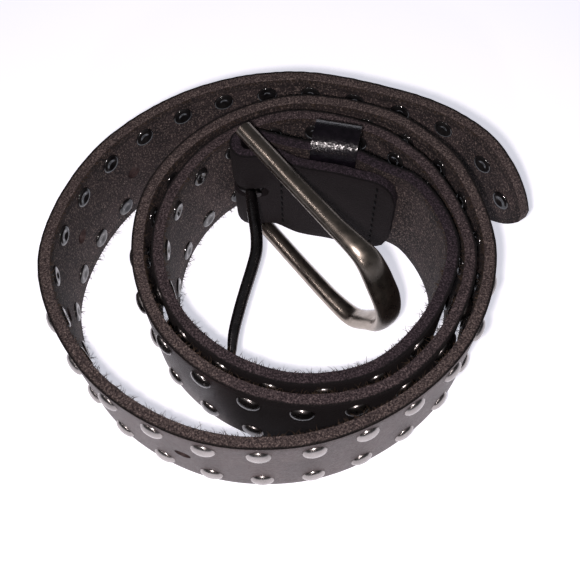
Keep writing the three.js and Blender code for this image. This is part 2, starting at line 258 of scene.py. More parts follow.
def makeGrainLeather():
    made, tree, shader = newFinish("blackGrainLeather")
    smudge = noise(tree, scale=70, detail=4, rough=0.6)
    broad = ramp(tree, smudge, [(0.35, finish["grainDark"]), (0.70, finish["grainWorn"])])
    speckle = noise(tree, scale=1900, detail=3, rough=0.7)
    fine = ramp(tree, speckle, [(0.35, grey(0.55)), (0.65, grey(1.5))])
    # Painted shade: over the buckle end the grain is near-black and matt
    buckleShadeMask = attribute(tree, "buckleEndShade")
    # Painted shade: on the inner turns the grain is near-black and matt
    innerTurnShade = attribute(tree, "innerTurnShade")
    wearAndInnerShade = mixColour(tree, innerTurnShade, multiply(tree, broad, fine), finish["grainInnerShade"])
    colour = mixColour(tree, buckleShadeMask, wearAndInnerShade, finish["grainBuckleShade"])
    tree.links.new(colour, shader.inputs["Base Color"])
    dull = dullness(tree, noise(tree, scale=900, detail=3), low=0.42, high=0.52)
    matt = mixColour(tree, innerTurnShade, dull, grey(0.98))
    tree.links.new(mixColour(tree, buckleShadeMask, matt, grey(0.92)), shader.inputs["Roughness"])
    setInputs(shader, {"Specular IOR Level": 0.40, "Specular Tint": (1, 0.86, 0.85, 1)})
    pores = bump(tree, shader, cells(tree, scale=2000), strength=0.5, distance=0.00012)
    creases = noise(tree, scale=1300, detail=4, rough=0.7)
    bump(tree, shader, creases, strength=0.8, distance=0.00028, under=pores)
    return made


def makeFleshLeather():
    made, tree, shader = newFinish("roughFleshLeather")
    blotches = noise(tree, scale=130, detail=5, rough=0.65)
    patch = ramp(tree, blotches, [(0.32, finish["fleshDark"]), (0.68, finish["fleshWarm"])])
    tufts = noise(tree, scale=1900, detail=3, rough=0.75, stretch=(1, 1, 0.7))
    specks = ramp(tree, tufts, [(0.52, grey(0)), (0.74, grey(1))])
    speckled = mixColour(tree, specks, patch, finish["fleshFibre"])
    # A burnished line runs a little way in from the edge
    burnt = ramp(tree, attribute(tree, "toEdge"),
                 [(0.04, grey(0.55)), (0.20, grey(0.72)), (0.27, grey(0.42)), (0.34, grey(1))])
    tree.links.new(multiply(tree, speckled, burnt), shader.inputs["Base Color"])
    fluff = noise(tree, scale=1300, detail=4, rough=0.7)
    nap = bump(tree, shader, fluff, strength=0.55, distance=0.0004)
    swells = noise(tree, scale=260, detail=3, rough=0.6)
    bump(tree, shader, swells, strength=0.35, distance=0.0005, under=nap)
    setInputs(shader, {"Roughness": 0.82, "Specular IOR Level": 0.35})
    return made


def makeCutEdge():
    made, tree, shader = newFinish("fuzzyCutEdge")
    fuzz = ramp(tree, noise(tree, scale=1900, detail=6, rough=0.8),
                [(0.38, finish["edgeDark"]), (0.52, finish["edgeMiddle"]),
                 (0.68, finish["edgePale"])])
    # The dye of the grain side reaches a little way down the cut
    black = ramp(tree, attribute(tree, "depth"), [(0.12, grey(0.10)), (0.26, grey(1))])
    # Painted shade: over the buckle end the cut edge is darkened and tinted lavender
    buckleShadeMask = ramp(tree, attribute(tree, "buckleEndShade"), [(0.0, grey(1)), (1.0, finish["edgeBuckleShade"])])
    # Painted shade: on the inner turns the cut edge is darkened and tinted lavender
    innerShadeTint = ramp(tree, attribute(tree, "innerTurnShade"), [(0.0, grey(1)), (1.0, finish["edgeInnerShade"])])
    colour = multiply(tree, multiply(tree, fuzz, black), multiply(tree, innerShadeTint, buckleShadeMask))
    tree.links.new(colour, shader.inputs["Base Color"])
    fluff = noise(tree, scale=1500, detail=5, rough=0.75)
    nap = bump(tree, shader, fluff, strength=0.9, distance=0.0005)
    swells = noise(tree, scale=500, detail=3, rough=0.6)
    bump(tree, shader, swells, strength=0.5, distance=0.0005, under=nap)
    setInputs(shader, {"Roughness": 0.9, "Specular IOR Level": 0.3})
    return made


def makeMetal(name, colour, low, high, grain=900):
    made, tree, shader = newFinish(name)
    tarnish = noise(tree, scale=160, detail=4, rough=0.6)
    tint = ramp(tree, tarnish, [(0.35, darker(colour, 0.72)), (0.65, colour)])
    tree.links.new(tint, shader.inputs["Base Color"])
    dull = dullness(tree, noise(tree, scale=grain, detail=3, rough=0.6), low, high)
    tree.links.new(dull, shader.inputs["Roughness"])
    scuffs = noise(tree, scale=grain * 1.5, detail=3, rough=0.6)
    bump(tree, shader, scuffs, strength=0.10, distance=0.00006)
    setInputs(shader, {"Metallic": 1.0})
    return made


def makeEnamel():
    made, tree, shader = newFinish("blackEnamel")
    dull = dullness(tree, noise(tree, scale=700, detail=3), low=0.08, high=0.16)
    tree.links.new(dull, shader.inputs["Roughness"])
    colour = ramp(tree, noise(tree, scale=300, detail=3),
                  [(0.3, finish["blackEnamel"]), (0.8, finish["enamelWorn"])])
    tree.links.new(colour, shader.inputs["Base Color"])
    setInputs(shader, {"Specular IOR Level": 0.85})
    return made


def makeKeeperLeather():
    made, tree, shader = newFinish("glossyKeeperLeather")
    colour = ramp(tree, noise(tree, scale=500, detail=3),
                  [(0.3, finish["keeperDark"]), (0.75, finish["keeperLight"])])
    tree.links.new(colour, shader.inputs["Base Color"])
    dull = dullness(tree, noise(tree, scale=900, detail=3), low=0.20, high=0.28)
    tree.links.new(dull, shader.inputs["Roughness"])
    bump(tree, shader, cells(tree, scale=1250), strength=0.6, distance=0.00010)
    setInputs(shader, {"Specular IOR Level": 0.42})
    return made


def makePlain(name, colour, dull, grain):
    made, tree, shader = newFinish(name)
    tint = ramp(tree, noise(tree, scale=grain, detail=3),
                [(0.35, darker(colour, 0.6)), (0.65, colour)])
    tree.links.new(tint, shader.inputs["Base Color"])
    bump(tree, shader, noise(tree, scale=grain * 2), strength=0.4, distance=0.0001)
    setInputs(shader, {"Roughness": dull, "Specular IOR Level": 0.12})
    return made


grainLeather = makeGrainLeather()
fleshLeather = makeFleshLeather()
cutEdge = makeCutEdge()
domeMetal = makeMetal("polishedRivetMetal", finish["gunmetal"], 0.24, 0.33)
frameMetal = makeMetal("bronzedMetal", finish["bronzed"], 0.26, 0.38, grain=600)
prongMetal = makeMetal("darkSatinMetal", finish["darkMetal"], 0.20, 0.30, grain=800)
# Painted shade: the bar, the prong's eye and its cut end sit in the fold's shade, so their metal is
# near-black
shadedInnerMetal = makeMetal("paintedShadeMetal", finish["innerMetalShade"], 0.32, 0.44, grain=800)
capEnamel = makeEnamel()
keeperLeather = makeKeeperLeather()
threadFinish = makePlain("blackThread", finish["thread"], dull=0.7, grain=2500)
hairFinish = makePlain("looseFibre", finish["hair"], dull=0.9, grain=900)
print("finishes ready")


# The route that the strap's grain side takes, seen from above, in millimetres

route = {
    "coilMiddle": (0.474, -4.366),
    "coilRadius": 60,
    "layerPitch": 5.6,
    "barBearing": -20.9,
    "barReach": 0.62,
    "foldRadius": 6.1,
    "foldInner": 2.6,
    "tailBearing": 73.1,
    "buckleLift": 4.8,
    "liftFrom": 49,
    "liftOver": 120,
    # Bearings on the second turn where the painted shade on the inner turns fades out
    "innerShadeFrom": 199,
    "innerShadeTo": 217,
    "first": [(0, 0.606), (30, 0.613), (45, 0.632), (60, 0.705), (90, 0.757), (120, 0.720),
              (150, 0.702), (180, 0.660), (210, 0.637), (240, 0.650), (270, 0.684), (300, 0.727),
              (330, 0.787)],
    "second": [(0, 0.140), (30, 0.138), (45, 0.119), (60, 0.043), (90, 0.001), (120, 0.001),
               (150, 0), (180, 0), (210, 0), (240, 0), (270, 0), (300, 0.014), (330, 0)],
    "third": [(0, 0.002), (30, 0.026), (45, 0.033), (60, 0.036), (90, 0), (120, 0), (150, 0.002),
              (180, 0.086), (210, 0.193), (240, 0.284), (270, 0.348), (300, 0.255), (330, 0.150)],
    "fourth": [(0, 0.064), (30, 0.049), (45, 0.100), (60, 0.149), (90, 0.434)],
}


def fromCentre(bearing, reach):
    angle = math.radians(bearing)
    return Vector((reach * math.sin(angle), reach * math.cos(angle), 0))


def bearingOf(point):
    return math.degrees(math.atan2(point.x, point.y))


def easyStep(low, high, value):
    share = min(max((value - low) / (high - low), 0), 1)
    return share * share * (3 - 2 * share)


def flowingLine(points, steps=40):
    # A smooth line through the points, with loops kept from overshooting
    line = []
    padded = [points[0] * 2 - points[1], *points, points[-1] * 2 - points[-2]]
    for i in range(len(points) - 1):
        a, b, c, d = padded[i:i + 4]
        gaps = [max((q - p).length, 1e-6) ** 0.5 for p, q in ((a, b), (b, c), (c, d))]
        leave = ((b - a) / gaps[0] - (c - a) / (gaps[0] + gaps[1]) + (c - b) / gaps[1]) * gaps[1]
        arrive = ((c - b) / gaps[1] - (d - b) / (gaps[1] + gaps[2]) + (d - c) / gaps[2]) * gaps[1]
        for k in range(steps):
            share = k / steps
            line.append(b + leave * share + (c * 3 - b * 3 - leave * 2 - arrive) * share ** 2
                        + (b * 2 - c * 2 + leave + arrive) * share ** 3)
    line.append(points[-1].copy())
    return line


def runningLength(line):
    lengths = [0.0]
    for a, b in zip(line, line[1:]):
        lengths.append(lengths[-1] + (b - a).length)
    return lengths


barMiddle = fromCentre(route["barBearing"], route["coilRadius"] * route["barReach"])
reached = {}
grainPoints = []
for turn in ("first", "second", "third", "fourth"):
    for bearing, slack in route[turn]:
        step = 0 if turn == "first" else route["layerPitch"]
        reached[bearing] = reached.get(bearing, 0) + step + route["coilRadius"] * slack
        grainPoints.append(fromCentre(bearing, reached[bearing]))
away = (grainPoints[1] - barMiddle).normalized()
startOutward = Vector((-away.y, away.x, 0))
bodyLine = flowingLine([barMiddle + startOutward * route["foldRadius"], *grainPoints])
bodyLengths = runningLength(bodyLine)


def station(distance):
    # Place, direction and outward direction on the grain side at a distance from the bar
    low, high = 0, len(bodyLengths) - 2
    while low < high:
        half = (low + high + 1) // 2
        low, high = (half, high) if bodyLengths[half] <= distance else (low, half - 1)
    a, b = bodyLine[low], bodyLine[low + 1]
    share = (distance - bodyLengths[low]) / (bodyLengths[low + 1] - bodyLengths[low])
    along = (b - a).normalized()
    return a.lerp(b, share), along, Vector((-along.y, along.x, 0))


def tailDistance():
    for i in range(len(bodyLine) - 1, 0, -1):
        if bearingOf(bodyLine[i]) < route["tailBearing"]:
            return bodyLengths[i]
    return bodyLengths[-1]


def distanceAt(bearing, turnsBefore):
    # Where the body passes a bearing after so many whole turns
    last = bearingOf(bodyLine[0])
    turned = last
    for i, point in enumerate(bodyLine):
        now = bearingOf(point)
        turned += (now - last + 180) % 360 - 180
        if turned >= turnsBefore * 360 + bearing:
            return bodyLengths[i]
        last = now
    return bodyLengths[-1]


def lift(distance):
    # The buckle end stands off the floor and settles within the first turn
    settled = easyStep(route["liftFrom"], route["liftFrom"] + route["liftOver"], distance)
    return route["buckleLift"] * (1 - settled)


# Strap: cut flat with its face towards +Y, punched, riveted, then bent along the route

strap = {
    "width": 38,
    "thickness": 3.5,
    "flapLength": 49,
    "flapCorner": 9,
    "tailPoint": 24,
    "tailPower": 1.66,
    "tipHeight": 4,
    "sewnGap": 0.5,
    "foldEasing": 13,
    "keeperEasing": 15,
    "columns": 720,
    "rows": 12,
    "edgeRound": 0.35,
    "edgeFray": 0.10,
    "holeDiameter": 5,
    "holes": 5,
    "firstHoleGap": 8.5,
    "pitchesPerHole": 2,
    "slotHeight": 5.0,
    "slotOnFlap": 4.2,
    "slotOnBody": 6.2,
    "slotRound": 2.2,
    "cutDepth": 12,
    "rimSpan": 10,
    # Where the painted shade over the buckle end fades out, measured from the bar
    "buckleShadeFrom": 20,
    "buckleShadeTo": 280,
}

keeper = {
    "offset": 26.4,
    "width": 13.6,
    "thickness": 1.8,
    "slot": 5.6,
    "clearance": 0.3,
    "topGap": 3.4,
    "archFlat": 0.1,
    "footRound": 2.4,
    "edgeRound": 0.4,
}

rivetPitch = 14.76


def sagAt(distance):
    return (keeperPlace - station(distance)[0]).dot(keeperOut)


# The strap bows away from a straight keeper, so the flap leaves it a little more room
facetSag = (rivetPitch / 2) ** 2 / (8 * route["coilRadius"] * route["first"][0][1])
keeperPlace, keeperAlong, keeperOut = station(keeper["offset"])
keeperSag = facetSag + max(sagAt(keeper["offset"] + side * keeper["width"] / 2) for side in (-1, 1))
keeperGap = keeper["thickness"] + keeperSag + 3 * keeper["clearance"]
strapLength = tailDistance()


def layerGap(distance):
    # How far apart the flap and the body lie
    atBar = 2 * route["foldInner"] * (1 - easyStep(0, strap["foldEasing"], distance))
    near = abs(distance - keeper["offset"]) - keeper["width"] / 2
    atKeeper = keeperGap * (1 - easyStep(1, strap["keeperEasing"], near))
    return max(atBar, atKeeper, strap["sewnGap"])


def flapLine(steps=60):
    line = []
    for i in range(steps):
        distance = strap["flapLength"] * (1 - i / steps)
        place, along, outward = station(distance)
        line.append(place - outward * (2 * strap["thickness"] + layerGap(distance)))
    return line


def evenSteps(line, gap):
    # The same line in even steps
    lengths = runningLength(line)
    count = round(lengths[-1] / gap)
    points, k = [], 0
    for i in range(count):
        wanted = lengths[-1] * i / count
        while lengths[k + 1] < wanted:
            k += 1
        share = (wanted - lengths[k]) / max(lengths[k + 1] - lengths[k], 1e-9)
        points.append(line[k].lerp(line[k + 1], share))
    return points + [line[-1].copy()]


def settle(line, rounds, upTo):
    # Takes the kinks out of the sharp bend round the bar
    for turn in range(rounds):
        line[1:upTo] = [(line[i - 1] + line[i] * 2 + line[i + 1]) / 4 for i in range(1, upTo)]


# The flap's line, the half turn round the bar and the body's line joined into one

fold = {
    "parts": 24,
    "firstPart": 2,
    "lastPart": 22,
    "flapClear": 6.9,
    "bodyFrom": 2,
    "joinIndex": 200,
    "step": 0.5,
    "rounds": 40,
    "leftAlone": 30,
}
foldLine = []
for i in range(fold["firstPart"], fold["lastPart"] + 1):
    turned = Matrix.Rotation(math.pi * (1 - i / fold["parts"]), 3, "Z") @ startOutward
    foldLine.append(barMiddle + turned * route["foldRadius"])
endIndex = max(i for i, length in enumerate(bodyLengths) if length <= strapLength)
firstIndex = min(i for i, length in enumerate(bodyLengths) if length >= fold["bodyFrom"])
keptFlap = [p for p in flapLine() if (p - barMiddle).length > fold["flapClear"]]
nearLine = evenSteps(keptFlap + foldLine + bodyLine[firstIndex:fold["joinIndex"]], fold["step"])
settle(nearLine, fold["rounds"], len(nearLine) - fold["leftAlone"])
wholeLine = nearLine + bodyLine[fold["joinIndex"]:endIndex + 1]
wholeLengths = runningLength(wholeLine)
bodyStart = wholeLengths[-1] - bodyLengths[endIndex]
foldStart = bodyStart - math.pi * route["foldRadius"]
wholeLength = bodyStart + strapLength


def flatAt(distance):
    # Where a distance from the bar lies on the flat strap
    return bodyStart + distance


def liftOnFlat(x):
    return lift(max(x - bodyStart, 0))


def halfHeight(x):
    # Half the strap's width, less at the flap's round corners and towards the tail's tip
    half = strap["width"] / 2
    fromTip = wholeLength - x
    if x < strap["flapCorner"]:
        into = strap["flapCorner"] - x
        half -= strap["flapCorner"] - math.sqrt(max(strap["flapCorner"] ** 2 - into ** 2, 0))
    if fromTip < strap["tailPoint"]:
        into = 1 - fromTip / strap["tailPoint"]
        share = max(1 - into ** strap["tailPower"], 0) ** (1 / strap["tailPower"])
        half = max(half * share, strap["tipHeight"] / 2)
    return half


def bendAlongRoute(piece):
    # The bend follows the line's length, with the flat strap's +Y side turned outwards
    finishWith(piece, "CURVE", object=bendCurve, deform_axis="POS_X")


def inFrame(place, height=0):
    # From the route's plan in millimetres to the shared frame in metres
    x, y = route["coilMiddle"]
    return Vector((place.x + x, place.y + y, height)) * mm


def newCurve(name, thickness=0, rounds=0):
    data = bpy.data.curves.new(name, "CURVE")
    data.dimensions = "3D"
    data.bevel_depth = thickness / 2 * mm
    data.bevel_resolution = rounds
    return data


def addSpline(data, places, sizes):
    spline = data.splines.new("POLY")
    spline.points.add(len(places) - 1)
    for point, place, size in zip(spline.points, places, sizes):
        point.co = (*place, 1)
        point.radius = size


def showCurve(data):
    curve = bpy.data.objects.new(data.name, data)
    bpy.context.scene.collection.objects.link(curve)
    return curve


def toMesh(curve):
    pick(curve)
    bpy.ops.object.convert(target="MESH")
    return bpy.context.object


def makeBendCurve():
    data = newCurve("bendCurve")
    data.twist_mode = "Z_UP"
    addSpline(data, [inFrame(place) for place in wholeLine], [1] * len(wholeLine))
    data.use_deform_bounds = False
    return showCurve(data)


bendCurve = makeBendCurve()


def cutFlatStrap():
    clearSelection()
    bpy.ops.mesh.primitive_grid_add(x_subdivisions=strap["columns"],
                                    y_subdivisions=strap["rows"], size=1)
    piece = bpy.context.object
    piece.name = "strapLeather"
    for finishUsed in (grainLeather, fleshLeather, cutEdge):
        piece.data.materials.append(finishUsed)
    piece.rotation_euler = (-math.pi / 2, 0, 0)
    piece.scale = (wholeLength * mm, strap["width"] * mm, 1)
    placeFixed(piece)
    for vertex in piece.data.vertices:
        x = vertex.co.x / mm + wholeLength / 2
        share = vertex.co.z / mm / (strap["width"] / 2)
        frayed = random.uniform(-1, 1) * strap["edgeFray"] if abs(share) > 0.99 else 0
        if share < 0:
            frayed = abs(frayed)
        height = strap["width"] / 2 + liftOnFlat(x) + share * halfHeight(x) + frayed
        vertex.co = (x * mm, 0, height * mm)
    finishWith(piece, "SOLIDIFY", thickness=strap["thickness"] * mm, offset=-1,
               material_offset=1, material_offset_rim=2)
    finishWith(piece, "BEVEL", width=strap["edgeRound"] * mm, segments=2, limit_method="ANGLE",
               angle_limit=math.radians(50))
    return piece


def punch(piece):
    # Round holes near the tail and the slot for the prong across the fold
    cutters = []
    for i in range(strap["holes"]):
        pitches = strap["firstHoleGap"] + i * strap["pitchesPerHole"]
        distance = rivets["lastPair"] - pitches * rivetPitch
        clearSelection()
        bpy.ops.mesh.primitive_cylinder_add(
            vertices=32, radius=strap["holeDiameter"] / 2 * mm, depth=strap["cutDepth"] * mm,
            rotation=(math.pi / 2, 0, 0),
            location=(flatAt(distance) * mm, 0, (strap["width"] / 2 + lift(distance)) * mm))
        cutters.append(bpy.context.object)
    low = foldStart - strap["slotOnFlap"]
    high = bodyStart + strap["slotOnBody"]
    middle = route["buckleLift"] + strap["width"] / 2
    clearSelection()
    bpy.ops.mesh.primitive_cube_add(size=1, location=((low + high) / 2 * mm, 0, middle * mm))
    slot = bpy.context.object
    slot.scale = ((high - low) * mm, strap["cutDepth"] * mm, strap["slotHeight"] * mm)
    placeFixed(slot)
    finishWith(slot, "BEVEL", width=strap["slotRound"] * mm, segments=4)
    cutters.append(slot)
    cutter = joinPieces(cutters, "punchTool")
    finishWith(piece, "BOOLEAN", object=cutter, operation="DIFFERENCE", solver="EXACT")
    bpy.data.objects.remove(cutter, do_unlink=True)


def mark(piece, name, valueAt):
    marks = piece.data.attributes.new(name, "FLOAT", "POINT")
    for spot, vertex in zip(marks.data, piece.data.vertices):
        spot.value = valueAt(vertex.co.x / mm, vertex.co)


def insetAt(x, place):
    fromMiddle = abs(place.z / mm - strap["width"] / 2 - liftOnFlat(x))
    return max(min(halfHeight(x) - fromMiddle, x, wholeLength - x), 0) / strap["rimSpan"]


def markLeather(piece):
    # How far each point is from the edge, how deep it is under the grain side,
    # and how much painted shade it takes, over the buckle end and over the inner turns
    innerShadeFrom = flatAt(distanceAt(route["innerShadeFrom"], 1))
    innerShadeTo = flatAt(distanceAt(route["innerShadeTo"], 1))
    buckleShadeFrom, buckleShadeTo = flatAt(strap["buckleShadeFrom"]), flatAt(strap["buckleShadeTo"])
    mark(piece, "toEdge", insetAt)
    mark(piece, "depth", lambda x, place: min(max(-place.y / mm / strap["thickness"], 0), 1))
    mark(piece, "buckleEndShade", lambda x, place: 1 - easyStep(buckleShadeFrom, buckleShadeTo, x))
    # Painted shade on the inner turns, fading out on the second turn
    mark(piece, "innerTurnShade", lambda x, place: 1 - easyStep(innerShadeFrom, innerShadeTo, x))


rivets = {
    "rowSpacing": 25,
    "pairs": 64,
    "lastPair": strapLength - 23.3,
    "tailSpread": 3.9,
    "spreadFade": 0.45,
    "tip": strapLength - 8.7,
    "rowInset": 4,
    "sides": 14,
    "domeRadius": 3.45,
    "domeSteps": [(1.0, 0.08), (0.95, 0.48), (0.80, 0.92), (0.52, 1.28), (0.18, 1.48)],
    "capRadius": 3.4,
    "capSteps": [(1.0, 0.16), (0.94, 0.44), (0.82, 0.62), (0.62, 0.68), (0.44, 0.56), (0.28, 0.30),
                 (0.12, 0.20)],
    "sunk": 0.25,
}


def drawUp(name, radius, steps, finishUsed):
    # A round head drawn up in steps from a disc sunk into the leather
    clearSelection()
    bpy.ops.mesh.primitive_circle_add(vertices=rivets["sides"], radius=radius * mm,
                                      fill_type="NGON", location=(0, 0, -rivets["sunk"] * mm))
    piece = bpy.context.object
    piece.name = name
    reach, height = 1, -rivets["sunk"]
    bpy.ops.object.mode_set(mode="EDIT")
    bpy.ops.mesh.select_all(action="SELECT")
    for wide, high in steps:
        rise = (high - height) * mm
        bpy.ops.mesh.extrude_region_move(TRANSFORM_OT_translate={"value": (0, 0, rise)})
        bpy.ops.transform.resize(value=(wide / reach, wide / reach, 1))
        reach, height = wide, high
    bpy.ops.mesh.select_all(action="SELECT")
    bpy.ops.mesh.normals_make_consistent(inside=False)
    bpy.ops.object.mode_set(mode="OBJECT")
    placeFixed(piece)
    giveFinish(piece, finishUsed)
    return piece


def copyTo(pattern, place, turn):
    pick(pattern)
    bpy.ops.object.duplicate(linked=False)
    piece = bpy.context.object
    piece.location = place
    piece.rotation_euler = turn
    return piece


def setRivets():
    domePattern = drawUp("domePattern", rivets["domeRadius"], rivets["domeSteps"], domeMetal)
    capPattern = drawUp("capPattern", rivets["capRadius"], rivets["capSteps"], capEnamel)
    spots = []
    for i in range(rivets["pairs"]):
        spread = rivets["tailSpread"] * rivets["spreadFade"] ** i
        distance = rivets["lastPair"] - i * rivetPitch + spread
        offset = rivets["rowSpacing"] / 2 - (rivets["rowInset"] if i == 0 else 0)
        for side in (1, -1):
            spots.append((flatAt(distance), strap["width"] / 2 + lift(distance) + side * offset))
    spots.append((flatAt(rivets["tip"]), strap["width"] / 2))
    domes = [copyTo(domePattern, (x * mm, 0, z * mm), (-math.pi / 2, random.uniform(0, 6), 0))
             for x, z in spots]
    caps = [copyTo(capPattern, (x * mm, -strap["thickness"] * mm, z * mm), (math.pi / 2, 0, 0))
            for x, z in spots]
    for pattern in (domePattern, capPattern):
        bpy.data.objects.remove(pattern, do_unlink=True)
    made = []
    for group, name in ((domes, "rivetDomes"), (caps, "rivetCaps")):
        piece = joinPieces(group, name)
        placeFixed(piece)
        bendAlongRoute(piece)
        smooth(piece, 80)
        made.append(piece)
    return made


strapPiece = cutFlatStrap()
punch(strapPiece)
markLeather(strapPiece)
bendAlongRoute(strapPiece)
smooth(strapPiece, 40)
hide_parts("strap")
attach(strapPiece, "belt_strap")
print("strap cut, punched and bent")

for rivetPiece in setRivets():
    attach(rivetPiece, "belt_strap")
print("rivets set")


# Keeper: a block with a tunnel, set round the strap at its station

def makeKeeper():
    low = -strap["thickness"] - keeperSag - keeper["clearance"] - keeper["thickness"]
    high = keeper["slot"] + keeper["thickness"]
    bottom = -keeper["clearance"] - keeper["thickness"]
    top = strap["width"] + keeper["topGap"] + keeper["thickness"]
    clearSelection()
    blockMiddle = Vector((0, low + high, bottom + top)) / 2 * mm
    bpy.ops.mesh.primitive_cube_add(size=1, location=blockMiddle)
    piece = bpy.context.object
    piece.name = "keeperLoop"
    piece.scale = (keeper["width"] * mm, (high - low) * mm, (top - bottom) * mm)
    placeFixed(piece)
    selectFaces(piece, lambda middle, normal: abs(normal.x) > 0.9)
    bpy.ops.mesh.inset(thickness=keeper["thickness"] * mm, use_individual=True)
    bpy.ops.mesh.bridge_edge_loops()
    wall = keeper["thickness"]
    arch = (high - low) / 2 - keeper["archFlat"]
    near = 0.1 * mm
    rounds = [(low, high, top, arch), (low, high, bottom, keeper["footRound"]),
              (low + wall, high - wall, top - wall, arch - wall)]
    for left, right, level, radius in rounds:
        selectEdges(piece, lambda a, b: abs(a.x - b.x) > keeper["width"] * mm * 0.9
                    and min(abs(a.y - left * mm), abs(a.y - right * mm)) < near
                    and abs(a.z - level * mm) < near)
        bpy.ops.mesh.bevel(offset=radius * mm, segments=12)
        bpy.ops.object.mode_set(mode="OBJECT")
    finishWith(piece, "BEVEL", width=keeper["edgeRound"] * mm, segments=3, limit_method="ANGLE",
               angle_limit=math.radians(50))
    place = inFrame(keeperPlace, route["buckleLift"])
    piece.matrix_world = Matrix((
        (keeperAlong.x, keeperOut.x, 0, place.x),
        (keeperAlong.y, keeperOut.y, 0, place.y),
        (0, 0, 1, place.z),
        (0, 0, 0, 1)))
    placeFixed(piece)
    giveFinish(piece, keeperLeather)
    smooth(piece, 45)
    return piece


keeperPiece = makeKeeper()
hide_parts("keeper")
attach(keeperPiece, "belt_strap")
print("keeper made")


# Buckle frame: a bent wire whose far end is hammered broad, closed by its bar

buckle = {
    "height": 50,
    "length": 64.9,
    "wire": 4.5,
    "wireBreadth": 5.3,
    "farThickness": 4.6,
    "farBreadth": 8.8,
    "farLean": 2.5,
    "farSquareness": 0.12,
    "bar": 4.6,
    "heading": -53.3,
    "steps": 8,
    "outline": [(-0.03, 0.995, 0.00), (0.30, 0.995, 0.00), (0.633, 0.992, 0.10),
                (0.779, 0.957, 0.38), (0.833, 0.879, 0.64), (0.920, 0.548, 0.95),
                (0.979, 0.295, 1.00), (1.00, 0.000, 1.00)],
}


def standAtBar(piece, heading):
    # Turns a piece that lies along +X so that it points along its heading from the bar
    piece.rotation_euler = (0, 0, math.radians(heading))
    piece.location = inFrame(barMiddle)
    placeFixed(piece)


def wireAlong(points, sizes, thickness, name, rounds):
    data = newCurve(name, thickness, rounds)
    data.use_fill_caps = True
    addSpline(data, [point * mm for point in points], sizes)
    return toMesh(showCurve(data))


def flowingSizes(sizes, steps):
    return [v.x for v in flowingLine([Vector((size, 0, 0)) for size in sizes], steps)]


def growthAt(grownAt, x):
    # How far the wire has grown towards its far shape at a distance from the bar
    for (low, first), (high, second) in zip(grownAt, grownAt[1:]):
        if x < high:
            return first + (second - first) * min(max((x - low) / max(high - low, 1e-6), 0), 1)
    return grownAt[-1][1]


def makeFrame():
    reach = buckle["length"] - buckle["farThickness"] / 2
    half = (buckle["height"] - buckle["wire"]) / 2
    upper = buckle["outline"]
    lower = [(a, -b, c) for a, b, c in reversed(upper[:-1])]
    corners = [Vector((a * reach, 0, buckle["height"] / 2 + b * half)) for a, b, c in upper + lower]
    line = flowingLine(corners, buckle["steps"])
    growth = flowingSizes([c for a, b, c in upper + lower], buckle["steps"])
    growth = [min(max(g, 0), 1) for g in growth]
    thickening = buckle["farThickness"] / buckle["wire"] - 1
    bow = wireAlong(line, [1 + g * thickening for g in growth], buckle["wire"], "buckleBow", 7)
    grownAt = [(p.x, g) for p, g in zip(line, growth)]
    grownAt = sorted(grownAt[:len(grownAt) // 2])
    for vertex in bow.data.vertices:
        near = growthAt(grownAt, vertex.co.x / mm)
        thick = buckle["wire"] / 2 * mm * (1 + near * thickening)
        across = max(min(vertex.co.y / thick, 1), -1)
        squared = math.copysign(abs(across) ** (1 - buckle["farSquareness"] * near), across)
        breadth = buckle["wireBreadth"] + near * (buckle["farBreadth"] - buckle["wireBreadth"])
        vertex.co.y = (squared * breadth / 2 + near * buckle["farLean"]) * mm
    clearSelection()
    bpy.ops.mesh.primitive_cylinder_add(vertices=32, radius=buckle["bar"] / 2 * mm,
                                        depth=(buckle["height"] - buckle["wire"]) * mm,
                                        location=(0, 0, buckle["height"] / 2 * mm))
    bar = bpy.context.object
    giveFinish(bow, frameMetal)
    # The bar's near-black metal is painted shade
    giveFinish(bar, shadedInnerMetal)
    piece = joinPieces([bow, bar], "buckleFrame")
    placeFixed(piece)
    standAtBar(piece, buckle["heading"])
    smooth(piece, 60)
    return piece


framePiece = makeFrame()
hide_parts("buckle_frame")
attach(framePiece, "frame")
print("buckle frame made")


# Prong: a bowed rod bent round the bar, its cut end beside the blade

prong = {
    "width": 3.8,
    "length": 60.48,
    "heading": -96.3,
    "height": 23.8,
    "eyeReach": 3.95,
    "eyeThick": 2.56,
    "eyeTall": 1.4,
    "stub": [(3.4, 1.6, 1.0), (4.6, 2.2, 1.0), (5.9, 2.7, 0.9)],
    "stubThick": 2.5,
    "steps": 8,
    "curve": [(0.05, 0.000, 0.92), (0.20, 0.030, 1.00), (0.34, 0.062, 1.00), (0.43, 0.070, 1.00),
              (0.52, 0.060, 1.00), (0.64, 0.040, 0.97), (0.76, 0.022, 0.94), (0.88, 0.010, 0.88),
              (0.96, 0.012, 0.74), (1.00, 0.016, 0.50)],
}


